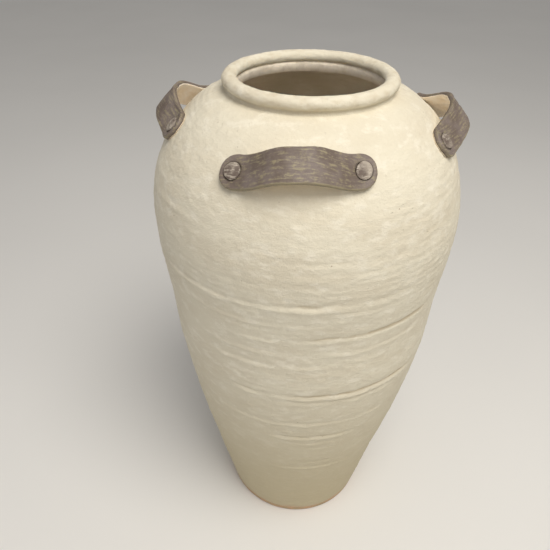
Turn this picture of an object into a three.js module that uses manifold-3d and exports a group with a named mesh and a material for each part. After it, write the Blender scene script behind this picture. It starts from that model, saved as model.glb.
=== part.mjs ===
// A large earthenware amphora, built as such jars are: a slab foot, five thrown wall sections keyed
// into each other, a neck collar and a rolled rim, with four clay strap handles, each held down at
// both ends by a round rivet pellet. Millimetres, +Z up. The origin is the centre of the underside of
// the foot, and the front handle faces -Y, so +X is on the right of somebody who looks at it.
import * as THREE from "three";
import { mergeVertices } from "three/addons/utils/BufferGeometryUtils.js";
import Module from "manifold-3d";

const wasm = await Module();
wasm.setup();

// Driving dimensions.
const FOOT_RADIUS = 127.5; // the foot's outer radius, on the floor
const BELLY_RADIUS = 220.6; // the widest point of the wall
const WALL_THICKNESS = 10; // thrown wall, measured square to the surface
const SLAB_THICKNESS = 14; // the disc that closes the bottom
const FOOT_CHAMFER = 2; // wiped edge round the underside
const NECK_INNER_RADIUS = 97; // the way in, between the shoulder and the rim
const NECK_OUTER_RADIUS = 109; // nearly as wide as the coil on it, with a soft hollow between
const NECK_TOP = 785; // where the rim's coil is laid on
const RIM_MIDDLE_RADIUS = 105.7; // the coil's centre line
const RIM_HALF_WIDTH = 10.3; // the coil's section is a flattened oval
const RIM_HALF_HEIGHT = 8.5;
const RIM_TOP = 800; // the jar's full height
const GAP = 0.3; // a thin film of slip between neighbours

// Heights of the joints between the wall sections, measured on the outer surface.
const JOINTS = [190, 401, 571, 690];
const SHOULDER_END = 779; // where the shoulder meets the neck collar
const KEY_HEIGHT = 4; // each section's upper edge carries a ridge that keys the next one
const KEY_FOOT = 2.6; // half the ridge's width where it starts
const KEY_CREST = 1.5; // half its width on top

// Strap handles. A strap is laid out flat, then bent onto the shoulder.
const HANDLE_HEIGHT = 734; // height of the strap's middle line where its ends lie on the wall
const STRAP_HALF_LENGTH = 90; // from the middle to a round tip, along the wall
const STRAP_END_RADIUS = 20.5; // the round ends that lie on the wall
const STRAP_MIDDLE_HALF_WIDTH = 17.8;
const STRAP_THICKNESS = 7.5;
const STRAP_LIFT = 23; // finger room under the middle of the strap
const LIFT_START = 70; // distance from the middle where the strap leaves the wall
const LIFT_FULL = 10; // distance from the middle where it is nearly at its full lift
const CROWN = 0.1; // share of the lift that is left for the gentle rise towards the middle
const RIVET_PLACE = 73; // distance of a rivet pellet from the strap's middle
const RIVET_RADIUS = 10;
const RIVET_SOCKET_RADIUS = 11.2; // the pressed socket leaves a groove round the pellet
const RIVET_SOCKET_DEPTH = 4;
const RIVET_PROUD = 0.6; // how far the pellet's edge stands above the strap
const RIVET_DOME = 1.2; // and how much higher its middle is

// Each handle was set by hand: its azimuth in degrees (+ is towards the right), how steeply it climbs
// to its right, and how far its lifted middle bows up the wall.
const HANDLES = {
  front: { azimuth: 0, lean: 0.06, bow: 6.2 },
  right: { azimuth: 93.5, lean: 0, bow: 4.5 },
  back: { azimuth: 180, lean: 0, bow: 4.5 },
  left: { azimuth: -95, lean: 0.04, bow: 4.5 },
};

// How finely round pieces are cut.
const TURN_STEPS = 40;
const STRAP_STEPS = 26;
const STRAP_END_STEPS = 3;
const RIVET_STEPS = 16;

const SLIP_CREAM = { color: 0xded3b6, roughness: 0.85, metalness: 0 };
const BARE_CLAY = { color: 0xc9a988, roughness: 0.95, metalness: 0 };
const BRONZED_BROWN = { color: 0x6f6355, roughness: 0.6, metalness: 0.15 };
const RIVET_BROWN = { color: 0x7a6f63, roughness: 0.55, metalness: 0.2 };

// The wall's outer line from the foot to the neck, as radius and height.
const wallLine = new THREE.SplineCurve(
  [
    [FOOT_RADIUS, 0],
    [144.2, 82],
    [162.5, 170],
    [181, 256],
    [195.7, 340],
    [205.9, 418],
    [210.6, 495],
    [BELLY_RADIUS - 1.8, 572],
    [BELLY_RADIUS - 0.6, 628],
    [210, 680],
    [191.3, 720],
    [165.8, 750],
    [138.4, 770],
    [111.5, SHOULDER_END],
  ].map(([radius, height]) => new THREE.Vector2(radius, height)),
);
wallLine.arcLengthDivisions = 800;
const wallLength = wallLine.getLength();

// How far along the wall line, in mm, a height is.
function wallDistance(height) {
  let low = 0;
  let high = wallLength;
  while (high - low > 1e-4) {
    const middle = (low + high) / 2;
    if (wallLine.getPointAt(middle / wallLength).y < height) low = middle;
    else high = middle;
  }
  return (low + high) / 2;
}

// The wall's outer point at a distance along its line, with its upward tangent and outward normal.
function wallFrame(distance) {
  const share = THREE.MathUtils.clamp(distance / wallLength, 0, 1);
  const point = wallLine.getPointAt(share);
  const along = wallLine.getTangentAt(share);
  return { point, along, out: new THREE.Vector2(along.y, -along.x) };
}

// A point in a wall frame: so far inwards from the outer surface, and so far up along the wall.
function inWall({ point, along, out }, inwards, up) {
  return point.clone().addScaledVector(out, -inwards).addScaledVector(along, up);
}

// A closed outline, walked so that the solid is on its left, becomes a solid of revolution about Z.
function turned(outline, steps = TURN_STEPS) {
  const lathe = new THREE.LatheGeometry([...outline, outline[0]], steps);
  return lathe.rotateX(Math.PI / 2); // a lathe turns about Y, and the jar stands on Z
}

// The keyed edge between two sections, from the outer surface to the inner one.
function keyedEdge(distance, spare) {
  const frame = wallFrame(distance);
  const middle = WALL_THICKNESS / 2;
  return [
    inWall(frame, 0, spare),
    inWall(frame, middle - KEY_FOOT - spare, spare),
    inWall(frame, middle - KEY_CREST - spare, KEY_HEIGHT + spare),
    inWall(frame, middle + KEY_CREST + spare, KEY_HEIGHT + spare),
    inWall(frame, middle + KEY_FOOT + spare, spare),
    inWall(frame, WALL_THICKNESS, spare),
  ];
}

// A plain edge: level on the slab, or square to the wall under the neck collar.
function plainEdge(distance) {
  const frame = wallFrame(distance);
  return [inWall(frame, 0, 0), inWall(frame, WALL_THICKNESS, 0)];
}

function levelEdge(height) {
  const outer = wallFrame(wallDistance(height)).point;
  return [outer, new THREE.Vector2(outer.x - WALL_THICKNESS - 2, height)];
}

// One ring of the wall between two edges, each listed from outside to inside.
function wallSection(bottomEdge, topEdge, bottomDistance, topDistance, steps) {
  const outer = [];
  const inner = [];
  for (let i = 1; i < steps; i += 1) {
    const distance = THREE.MathUtils.lerp(bottomDistance, topDistance, i / steps);
    outer.push(inWall(wallFrame(distance), 0, 0));
    inner.push(inWall(wallFrame(distance), WALL_THICKNESS, 0));
  }
  return turned([...outer, ...topEdge, ...inner.reverse(), ...bottomEdge.slice().reverse()]);
}

function slabGeometry() {
  const top = wallFrame(wallDistance(SLAB_THICKNESS)).point;
  return turned([
    new THREE.Vector2(0, 0),
    new THREE.Vector2(FOOT_RADIUS - FOOT_CHAMFER, 0),
    inWall(wallFrame(wallDistance(FOOT_CHAMFER)), 0, 0),
    top,
    new THREE.Vector2(0, SLAB_THICKNESS),
  ]);
}

// The collar stands inside the shoulder's upper edge and flares onto it.
function collarGeometry() {
  const edge = wallFrame(wallLength);
  const outerFoot = inWall(edge, 0, GAP);
  const innerFoot = inWall(edge, WALL_THICKNESS, GAP);
  return turned([
    new THREE.Vector2(NECK_INNER_RADIUS + 1.5, innerFoot.y),
    innerFoot,
    outerFoot,
    new THREE.Vector2(NECK_OUTER_RADIUS + 2, outerFoot.y + 1.6),
    new THREE.Vector2(NECK_OUTER_RADIUS, outerFoot.y + 4),
    new THREE.Vector2(NECK_OUTER_RADIUS, NECK_TOP),
    new THREE.Vector2(NECK_INNER_RADIUS, NECK_TOP),
    new THREE.Vector2(NECK_INNER_RADIUS, innerFoot.y + 5),
  ]);
}

// The rim is a flattened coil, seated flat on the collar.
function rimGeometry() {
  const middleHeight = RIM_TOP - RIM_HALF_HEIGHT;
  const seat = NECK_TOP + GAP;
  const seatAngle = Math.asin((seat - middleHeight) / RIM_HALF_HEIGHT);
  const oval = new THREE.EllipseCurve(
    RIM_MIDDLE_RADIUS,
    middleHeight,
    RIM_HALF_WIDTH,
    RIM_HALF_HEIGHT,
    seatAngle,
    Math.PI - seatAngle,
  );
  return turned(oval.getPoints(12));
}

// Half the width of a strap laid flat, at a distance from its middle: the ends are a little wider.
function strapHalfWidth(distance) {
  const share = THREE.MathUtils.smoothstep(distance, LIFT_FULL, RIVET_PLACE);
  return THREE.MathUtils.lerp(STRAP_MIDDLE_HALF_WIDTH, STRAP_END_RADIUS, share);
}

// How far the strap's underside stands off the wall at a distance from its middle.
function strapLift(distance) {
  const rise = 1 - THREE.MathUtils.smoothstep(distance, LIFT_FULL, LIFT_START);
  const crown = Math.cos((Math.min(distance, LIFT_START) / LIFT_START) * (Math.PI / 2));
  return STRAP_LIFT * ((1 - CROWN) * rise + CROWN * crown);
}

const handleDistance = wallDistance(HANDLE_HEIGHT);
const rivetAngle = RIVET_PLACE / wallFrame(handleDistance).point.x;

// Bends a point of the flat strap onto the front of the shoulder: along is from the strap's middle to
// its right, across is up the wall, and above is over the strap's underside.
function bentPoint({ lean, bow }, along, across, above) {
  const distance = Math.abs(along);
  const lift = strapLift(distance);
  const climb = across + lean * along + bow * (lift / STRAP_LIFT);
  const { point, out } = wallFrame(handleDistance + climb);
  const angle =
    distance > RIVET_PLACE
      ? rivetAngle + (distance - RIVET_PLACE) / point.x
      : rivetAngle * (distance / RIVET_PLACE);
  const turn = Math.sign(along) * angle;
  const off = point.clone().addScaledVector(out, GAP + lift + above);
  return new THREE.Vector3(off.x * Math.sin(turn), -off.x * Math.cos(turn), off.y);
}

// A box with a grid over it is drawn out into a strap with round ends, then bent.
function strapBlank(handle) {
  const box = new THREE.BoxGeometry(2, 2, 1, STRAP_STEPS, 4, 1);
  const place = box.getAttribute("position");
  const straightShare = 1 - (2 * STRAP_END_STEPS) / STRAP_STEPS;
  const straight = STRAP_HALF_LENGTH - STRAP_END_RADIUS;
  for (let i = 0; i < place.count; i += 1) {
    const share = Math.abs(place.getX(i));
    const side = place.getY(i);
    const into = Math.max(0, (share - straightShare) / (1 - straightShare));
    const along =
      into > 0
        ? straight + STRAP_END_RADIUS * into * Math.sqrt(1 - (side * side) / 2)
        : (share / straightShare) * straight;
    const across =
      into > 0
        ? STRAP_END_RADIUS * side * Math.sqrt(1 - (into * into) / 2)
        : side * strapHalfWidth(along);
    const above = (place.getZ(i) + 0.5) * STRAP_THICKNESS;
    const bent = bentPoint(handle, Math.sign(place.getX(i)) * along, across, above);
    place.setXYZ(i, bent.x, bent.y, bent.z);
  }
  return box;
}

// The matrix that stands an upright piece on the strap over one of its rivet places.
function rivetMatrix(handle, side) {
  const foot = bentPoint(handle, side * RIVET_PLACE, 0, STRAP_THICKNESS - RIVET_SOCKET_DEPTH);
  const top = bentPoint(handle, side * RIVET_PLACE, 0, STRAP_THICKNESS);
  const up = top.clone().sub(foot).normalize();
  const turn = new THREE.Quaternion().setFromUnitVectors(new THREE.Vector3(0, 0, 1), up);
  return new THREE.Matrix4().compose(foot, turn, new THREE.Vector3(1, 1, 1));
}

// The socket's cutter, and the slightly domed pellet that is pressed into it.
function socketGeometry() {
  const depth = RIVET_SOCKET_DEPTH + 3;
  return new THREE.CylinderGeometry(RIVET_SOCKET_RADIUS, RIVET_SOCKET_RADIUS, depth, RIVET_STEPS)
    .rotateX(Math.PI / 2)
    .translate(0, 0, depth / 2);
}

function pelletGeometry() {
  const edge = RIVET_SOCKET_DEPTH + RIVET_PROUD;
  return turned(
    [
      new THREE.Vector2(0, GAP),
      new THREE.Vector2(RIVET_RADIUS, GAP),
      new THREE.Vector2(RIVET_RADIUS, edge - 0.8),
      new THREE.Vector2(RIVET_RADIUS - 1, edge),
      new THREE.Vector2(0, edge + RIVET_DOME),
    ],
    RIVET_STEPS,
  );
}

// A closed geometry as a manifold-3d solid, and back.
function solidOf(geometry) {
  const bare = geometry.clone().deleteAttribute("normal").deleteAttribute("uv");
  const merged = mergeVertices(bare, 1e-3);
  return new wasm.Manifold(
    new wasm.Mesh({
      numProp: 3,
      vertProperties: new Float32Array(merged.getAttribute("position").array),
      triVerts: new Uint32Array(merged.index.array),
    }),
  );
}

function geometryOf(solid) {
  const { vertProperties, triVerts } = solid.getMesh();
  const geometry = new THREE.BufferGeometry();
  geometry.setAttribute("position", new THREE.BufferAttribute(vertProperties, 3));
  geometry.setIndex(new THREE.BufferAttribute(triVerts, 1));
  geometry.computeVertexNormals();
  return geometry;
}

function strapGeometry(handle) {
  let solid = solidOf(strapBlank(handle));
  for (const side of [-1, 1]) {
    solid = solid.subtract(solidOf(socketGeometry().applyMatrix4(rivetMatrix(handle, side))));
  }
  return geometryOf(solid);
}

const amphora = new THREE.Group();

function add(parent, name, geometry, finish) {
  const mesh = new THREE.Mesh(geometry, new THREE.MeshStandardMaterial(finish));
  mesh.name = name;
  parent.add(mesh);
  return mesh;
}

add(amphora, "base_slab", slabGeometry(), BARE_CLAY);

// The wall sections, from the slab up to the neck. The number is how many steps its curve takes.
const sections = [
  ["foot_section", 4],
  ["lower_wall_section", 4],
  ["belly_section", 4],
  ["upper_wall_section", 4],
  ["shoulder_section", 5],
];
const sectionEnds = [SLAB_THICKNESS + GAP, ...JOINTS, SHOULDER_END];
sections.forEach(([name, steps], i) => {
  const bottom = wallDistance(sectionEnds[i]);
  const top = i === sections.length - 1 ? wallLength : wallDistance(sectionEnds[i + 1]);
  const bottomEdge = i === 0 ? levelEdge(sectionEnds[i]) : keyedEdge(bottom, GAP);
  const topEdge = i === sections.length - 1 ? plainEdge(top) : keyedEdge(top, 0);
  add(amphora, name, wallSection(bottomEdge, topEdge, bottom, top, steps), SLIP_CREAM);
});

add(amphora, "neck_collar", collarGeometry(), SLIP_CREAM);
add(amphora, "rim_coil", rimGeometry(), SLIP_CREAM);

// The four handles, each turned about the jar's axis to its own place.
for (const [place, handle] of Object.entries(HANDLES)) {
  const group = new THREE.Group();
  group.rotation.z = THREE.MathUtils.degToRad(handle.azimuth);
  add(group, `handle_strap_${place}`, strapGeometry(handle), BRONZED_BROWN);
  for (const [side, end] of [[-1, "left"], [1, "right"]]) {
    const rivet = add(group, `rivet_${place}_${end}`, pelletGeometry(), RIVET_BROWN);
    rivetMatrix(handle, side).decompose(rivet.position, rivet.quaternion, rivet.scale);
  }
  amphora.add(group);
}

export default amphora;
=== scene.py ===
"""A large earthenware amphora: thrown wall sections under a brushed cream slip, a rolled rim, and four
clay strap handles, each held down by two rivet pellets. Lengths are in millimetres until a mesh is
written, which is in metres. Angles round the jar are from the front handle towards the right."""

import math
from collections import namedtuple

import bmesh
import bpy
import numpy as np
from bpy.props import FloatProperty, FloatVectorProperty, IntProperty, PointerProperty
from mathutils import Matrix, Vector


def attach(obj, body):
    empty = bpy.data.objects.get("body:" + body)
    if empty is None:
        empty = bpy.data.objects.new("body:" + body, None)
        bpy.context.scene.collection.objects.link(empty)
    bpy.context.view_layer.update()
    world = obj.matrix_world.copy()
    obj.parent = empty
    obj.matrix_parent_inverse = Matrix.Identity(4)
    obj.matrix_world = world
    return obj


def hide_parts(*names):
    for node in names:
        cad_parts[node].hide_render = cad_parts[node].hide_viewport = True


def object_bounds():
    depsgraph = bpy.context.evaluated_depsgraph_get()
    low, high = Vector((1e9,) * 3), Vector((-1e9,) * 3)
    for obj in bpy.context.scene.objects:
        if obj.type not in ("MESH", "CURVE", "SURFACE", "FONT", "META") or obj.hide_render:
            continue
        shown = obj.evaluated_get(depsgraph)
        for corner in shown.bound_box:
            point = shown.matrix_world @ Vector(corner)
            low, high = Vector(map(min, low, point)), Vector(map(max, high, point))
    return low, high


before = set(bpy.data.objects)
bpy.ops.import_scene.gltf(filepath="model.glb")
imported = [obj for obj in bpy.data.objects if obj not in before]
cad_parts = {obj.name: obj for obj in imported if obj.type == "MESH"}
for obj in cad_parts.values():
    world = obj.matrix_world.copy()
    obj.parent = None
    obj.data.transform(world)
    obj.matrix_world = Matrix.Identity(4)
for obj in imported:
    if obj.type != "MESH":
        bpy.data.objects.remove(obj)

bl_info = {
    "name": "Earthenware amphora",
    "version": (1, 0, 0),
    "blender": (4, 5, 0),
    "location": "3D View > Sidebar > Amphora",
    "description": "Builds a tall earthenware amphora with clay strap handles round its shoulder",
    "category": "Object",
}

CAD_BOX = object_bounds()
MM = 0.001
BODY = "root"

# The wall's outer line, from the foot to the neck, as radius and height.
WALL_POINTS = [
    (127.5, 0),
    (144.2, 82),
    (162.5, 170),
    (181, 256),
    (195.7, 340),
    (205.9, 418),
    (210.6, 495),
    (218.8, 572),
    (220, 628),
    (210, 680),
    (191.3, 720),
    (165.8, 750),
    (138.4, 770),
    (111.5, 779),
]
BELLY_RADIUS = 220.6
WALL_THICKNESS = 10
SLAB_THICKNESS = 14
SEAM = 0.15  # the film of slip between neighbours
SEAM_FACE = 0.02  # and where it is smoothed over on the outside
JOINTS = [190, 401, 571, 690]  # heights where one wall section is keyed into the next
KEY_HEIGHT, KEY_FOOT, KEY_CREST = 4, 2.6, 1.5
NECK_INNER_RADIUS, NECK_OUTER_RADIUS = 97, 109
NECK_TOP = 785
RIM_MIDDLE_RADIUS = 105.7
RIM_HALF_WIDTH, RIM_HALF_HEIGHT = 10.3, 8.5

# Each handle: its azimuth in degrees, how steeply it climbs to its right, and how far its lifted middle
# bows up the wall.
Handle = namedtuple("Handle", "azimuth lean bow")
HANDLES = {
    "front": Handle(0, 0.06, 6.2),
    "right": Handle(93.5, 0, 4.5),
    "back": Handle(180, 0, 4.5),
    "left": Handle(-95, 0.04, 4.5),
}
HANDLE_HEIGHT = 734

# The straps, laid out flat.
STRAP_HALF_LENGTH = 90
STRAP_END_RADIUS = 20.5
STRAP_MIDDLE_HALF_WIDTH = 17.8
STRAP_THICKNESS = 7.5
STRAP_LIFT = 23
LIFT_START, LIFT_FULL = 70, 10
CROWN = 0.1
RIVET_PLACE = 73
RIVET_RADIUS = 10
RIVET_SOCKET_RADIUS = 11.2
RIVET_SOCKET_DEPTH = 4
RIVET_PROUD = 0.6
RIVET_DOME = 1.2

RIM_TOP = CAD_BOX[1].z / MM
MOST_RADIUS = CAD_BOX[1].x / MM  # nothing on the wall may stand out further than this
RELIEF_MIDDLE = 0.8  # the marks lie about this far inside the wall's line


# ---------------------------------------------------------------------------------------------
# Shapes: the wall's line, and the marks that making it by hand leaves.


def smoothstep(value, start, end):
    share = np.clip((value - start) / (end - start), 0, 1)
    return share * share * (3 - 2 * share)


class WallLine:
    """The wall's outer line, by the distance along it from the foot."""

    def __init__(self, points, steps=60):
        points = [np.array(point, float) for point in points]
        share = np.linspace(0, 1, steps, endpoint=False)[:, None]
        runs = []
        for i in range(len(points) - 1):
            before, start = points[max(i - 1, 0)], points[i]
            end, after = points[i + 1], points[min(i + 2, len(points) - 1)]
            leave, arrive = (end - before) / 2, (after - start) / 2
            cubic = 2 * start - 2 * end + leave + arrive
            square = 3 * end - 3 * start - 2 * leave - arrive
            runs.append(cubic * share**3 + square * share**2 + leave * share + start)
        line = np.vstack([*runs, points[-1]])
        steps = np.hypot(*np.diff(line, axis=0).T)
        self.distance = np.concatenate([[0], np.cumsum(steps)])
        self.length = self.distance[-1]
        self.line = line
        along = np.gradient(line, self.distance, axis=0)
        self.along = along / np.hypot(*along.T)[:, None]

    def at(self, distance):
        """Radius and height there, and the upward direction along the wall."""
        radius, height = (np.interp(distance, self.distance, column) for column in self.line.T)
        along_r, along_z = (np.interp(distance, self.distance, column) for column in self.along.T)
        return radius, height, along_r, along_z

    def distance_at(self, height):
        return np.interp(height, self.line[:, 1], self.distance)

    def point(self, distance, inwards=0, up=0):
        """Radius and height of a point so far inwards from the outer face, and so far up along it."""
        radius, height, along_r, along_z = self.at(distance)
        return radius - along_z * inwards + along_r * up, height + along_r * inwards + along_z * up


WALL = WallLine(WALL_POINTS)


def cells(table, across, up):
    """Smooth noise between a table's values, which repeat both ways."""
    rows, columns = table.shape
    row, column = np.floor(up).astype(int), np.floor(across).astype(int)
    rise, run = up - row, across - column
    rise, run = rise * rise * (3 - 2 * rise), run * run * (3 - 2 * run)
    low, high = row % rows, (row + 1) % rows
    near, far = column % columns, (column + 1) % columns
    bottom = table[low, near] * (1 - run) + table[low, far] * run
    top = table[high, near] * (1 - run) + table[high, far] * run
    return bottom * (1 - rise) + top * rise


def wall_noise(azimuth, distance, width, height, seed, climb=0):
    """Noise from -1 to 1 in cells so wide and high on the belly. Where they climb, it is by so much in
    one turn of the jar."""
    rows = round(climb / height) if climb else 1 + math.ceil(WALL.length / height)
    columns = max(3, round(2 * math.pi * BELLY_RADIUS / width))
    turn = azimuth / (2 * math.pi)
    table = np.random.default_rng(seed).uniform(-1, 1, (abs(rows), columns))
    return cells(table, turn * columns, distance / height + turn * rows * bool(climb))


# A layer of unevenness: how deep it is, how wide and high its cells are, the seed of its draw, and how
# far its strokes climb in one turn of the jar.
Layer = namedtuple("Layer", "depth width height seed climb", defaults=[0])
LUMPS = [Layer(0.4, 75, 52, 21), Layer(0.25, 26, 22, 22)]
BRUSH_STROKES = [Layer(0.12, 46, 6, 25), Layer(0.1, 30, 5, 26, 270)]
DAUB_SHAPES = [Layer(1, 17, 10, 27), Layer(0.6, 7, 5, 28)]
DAUB_DEPTH = 0.42
SLIP_SKIN = [Layer(0.12, 9, 8, 30)]
DENT_SHAPES = [Layer(1, 12, 10, 29)]
DENT_DEPTH = 0.5
FINGER_RING_DEPTH, FINGER_RING_PITCH = 0.25, 10
FINGER_RING_PATCHES = [Layer(1, 170, 60, 23)]
FINGER_RING_WANDER = [Layer(2.2, 120, 300, 24)]
LINE_WANDER = [Layer(1.6, 26, 400, 5)]
LINE_BREAKS = [Layer(1, 40, 30, 6)]
INSIDE_UNEVEN = [Layer(0.6, 60, 30, 41), Layer(0.25, 30, 7, 42)]
INSIDE_SPIRAL_DEPTH, INSIDE_SPIRAL_PITCH = 0.5, 17
NECK_RAGGED = [Layer(0.5, 30, 50, 61), Layer(0.3, 9, 50, 62)]
CHIP_SHAPES = [Layer(1, 12, 50, 63)]
RIM_UNEVEN = [Layer(0.35, 24, 5, 71), Layer(0.2, 8, 3, 72)]

# How far the jar sways to the right, at which distance along the wall, and over how long a reach.
Sway = namedtuple("Sway", "amount distance reach")
SWAYS = [Sway(1.8, 375, 125), Sway(-0.8, 672, 50)]
OVAL, THREE_SIDED = 0.3, 0.2  # and how far it is from round
FOOT_FADE, NECK_FADE = 40, 24  # the marks die away over these distances from its two ends
LEAST_MARKS = 0.25  # to this share


def layered(azimuth, distance, layers):
    """Layers of unevenness added together."""
    return sum(layer.depth * wall_noise(azimuth, distance, *layer[1:]) for layer in layers)


# Marks of the coils and the fingers. Each is a groove with a ridge under it, at a height on the
# wall, between two azimuths in degrees, with the groove's depth and the ridge's height.
ThrowingLine = namedtuple("ThrowingLine", "height start end groove ridge")
THROWING_LINES = [
    ThrowingLine(671, -64, -34, 0.3, 0.5),
    ThrowingLine(641, -4, 44, 0.6, 0.1),
    ThrowingLine(626, 6, 66, 0.4, 0.1),
    ThrowingLine(608, -40, 12, 0.2, 0.2),
    ThrowingLine(577, -56, 16, 0.6, 1.2),
    ThrowingLine(581, -6, 62, 1.0, 0.3),
    ThrowingLine(549, -44, -8, 0.5, 0.5),
    ThrowingLine(521, 2, 56, 1.2, 0.4),
    ThrowingLine(519, -22, -4, 0.2, 0.9),
    ThrowingLine(494, -36, 54, 0.2, 0.8),
    ThrowingLine(468, -38, -6, 0.6, 0.9),
    ThrowingLine(470, -2, 14, 0.6, 0.7),
    ThrowingLine(405, -26, 58, 1.3, 1.1),
    ThrowingLine(391, -4, 48, 0.6, 0.5),
    ThrowingLine(337, -38, 46, 0.6, 0.9),
    ThrowingLine(297, -20, 32, 1.1, 0.9),
    ThrowingLine(279, 0, 26, 0.5, 0.4),
    ThrowingLine(261, 0, 18, 0.5, 0.4),
    ThrowingLine(212, 2, 28, 0.9, 0.1),
    ThrowingLine(193, -14, 34, 0.5, 0.9),
    ThrowingLine(178, 6, 24, 0.2, 0.6),
    ThrowingLine(78, -24, 40, 0.3, 0.4),
    ThrowingLine(33, -30, 36, 0.5, 0.3),
]
GROOVE_SHARE, GROOVE_PLACE, GROOVE_WIDTH = 1.3, 3.2, 3.0  # a groove lies just above its line's height
RIDGE_SHARE, RIDGE_PLACE, RIDGE_WIDTH = 1.2, -3.6, 3.6  # and its ridge just below


def all_lines():
    """The lines above, and others of their kind at nearly their heights round the rest of the jar."""
    rng = np.random.default_rng(11)
    lines = list(THROWING_LINES)
    for line in THROWING_LINES:
        start = rng.uniform(70, 150)
        span = rng.uniform(30, 120)
        height = line.height + rng.uniform(-14, 14)
        lines.append(line._replace(height=height, start=start, end=start + span))
        start = rng.uniform(200, 240)
        lines.append(line._replace(height=height - 6, start=start, end=start + rng.uniform(20, 50)))
    return lines


def throwing_relief(azimuth, distance):
    """How far the coil and finger lines stand out of the wall."""
    total = np.zeros(np.broadcast(azimuth, distance).shape)
    wander = layered(azimuth, distance, LINE_WANDER)
    broken = smoothstep(layered(azimuth, distance, LINE_BREAKS), -0.9, -0.1)
    for line in all_lines():
        middle, half = (line.start + line.end) / 2, (line.end - line.start) / 2
        turned = np.degrees(azimuth) - middle
        away = np.abs((turned + 180) % 360 - 180)
        show = smoothstep(-away, -half - 6, -half + 10) * broken
        off = distance - WALL.distance_at(line.height) - wander
        groove = GROOVE_SHARE * line.groove * np.exp(-(((off - GROOVE_PLACE) / GROOVE_WIDTH) ** 2))
        ridge = RIDGE_SHARE * line.ridge * np.exp(-(((off - RIDGE_PLACE) / RIDGE_WIDTH) ** 2))
        total += show * (ridge - groove)
    return total


def hand_marks(azimuth, distance):
    """How far the outer face's marks stand in or out: wobble, coil lines, finger rings, daubs of slip
    and small dents, all a little inside the wall's even line."""
    azimuth, distance = np.broadcast_arrays(azimuth, distance)
    swell = OVAL * np.cos(2 * azimuth + 0.6)
    swell = swell + THREE_SIDED * np.cos(3 * azimuth - 1.1 + distance / 260)
    patches = smoothstep(layered(azimuth, distance, FINGER_RING_PATCHES), -0.2, 0.7)
    ringed = distance + layered(azimuth, distance, FINGER_RING_WANDER)
    rings = FINGER_RING_DEPTH * np.sin(ringed * 2 * math.pi / FINGER_RING_PITCH)
    marks = layered(azimuth, distance, [*LUMPS, *BRUSH_STROKES, *SLIP_SKIN])
    marks = marks + patches * rings
    marks = marks + DAUB_DEPTH * smoothstep(layered(azimuth, distance, DAUB_SHAPES), 0.2, 0.5)
    marks = marks - DENT_DEPTH * smoothstep(layered(azimuth, distance, DENT_SHAPES), 0.84, 1.0)
    marks = marks + throwing_relief(azimuth, distance)
    shown = smoothstep(distance, 0, FOOT_FADE)
    shown = shown * smoothstep(-distance, -WALL.length - 2, -WALL.length + NECK_FADE)
    faded = marks * (LEAST_MARKS + (1 - LEAST_MARKS) * shown)
    return bpy.context.scene.amphora_wall.mark_depth * (swell + faded) - RELIEF_MIDDLE


def wall_relief(azimuth, distance):
    """How far the outer face stands from its even line, with the jar's slight sway."""
    to_right = sum(
        sway.amount * np.exp(-(((distance - sway.distance) / sway.reach) ** 2)) for sway in SWAYS
    )
    return to_right * np.sin(azimuth) + hand_marks(azimuth, distance)


def round_jar(azimuth, radius, height):
    """Radius, azimuth and height to x, y and z."""
    azimuth, radius, height = np.broadcast_arrays(azimuth, radius, height)
    return np.stack([radius * np.sin(azimuth), -radius * np.cos(azimuth), height], -1)


def wall_point(azimuth, distance, above=0.0):
    """A point above the outer face, marks and all, at an azimuth and a distance along the wall."""
    radius, height = WALL.point(distance, -(wall_relief(azimuth, distance) + above))
    return round_jar(azimuth, np.minimum(radius, MOST_RADIUS), height)


# ---------------------------------------------------------------------------------------------
# Meshes


def write_object(name, points, faces, materials, inside=(), marks=None):
    """Makes an object of a mesh in millimetres, smooth except at its sharp edges. Faces listed in
    inside take the second material, and marks are named values at the points."""
    mesh = bpy.data.meshes.new(name)
    mesh.from_pydata(np.asarray(points, float) * MM, [], faces)
    for material in materials:
        mesh.materials.append(material)
    if len(inside):
        slots = np.zeros(len(mesh.polygons), np.int32)
        slots[inside] = 1
        mesh.polygons.foreach_set("material_index", slots)
    mesh.polygons.foreach_set("use_smooth", np.ones(len(mesh.polygons), bool))
    mesh.set_sharp_from_angle(angle=math.radians(48))
    for mark, values in (marks or {}).items():
        values = np.asarray(values, np.float32)
        kind, field = ("FLOAT", "value") if values.ndim == 1 else ("FLOAT_VECTOR", "vector")
        mesh.attributes.new(mark, kind, "POINT").data.foreach_set(field, values.ravel())
    mesh.validate()
    mesh.update()
    piece = bpy.data.objects.new(name, mesh)
    bpy.context.scene.collection.objects.link(piece)
    return piece


def stand_in(piece, node):
    """The piece takes the place of a CAD node."""
    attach(piece, BODY)
    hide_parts(node)


def ring_faces(rows, columns, closed):
    """Quads of a grid that goes round the jar; a closed one also joins its last row to its first."""
    row = np.arange(rows if closed else rows - 1)[:, None]
    column = np.arange(columns)[None, :]
    above, beside = (row + 1) % rows, (column + 1) % columns
    starts = [(row, column), (row, beside), (above, beside), (above, column)]
    corners = [np.broadcast_to(a * columns + b, (len(row), columns)) for a, b in starts]
    return np.stack(corners, -1).reshape(-1, 4)


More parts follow.
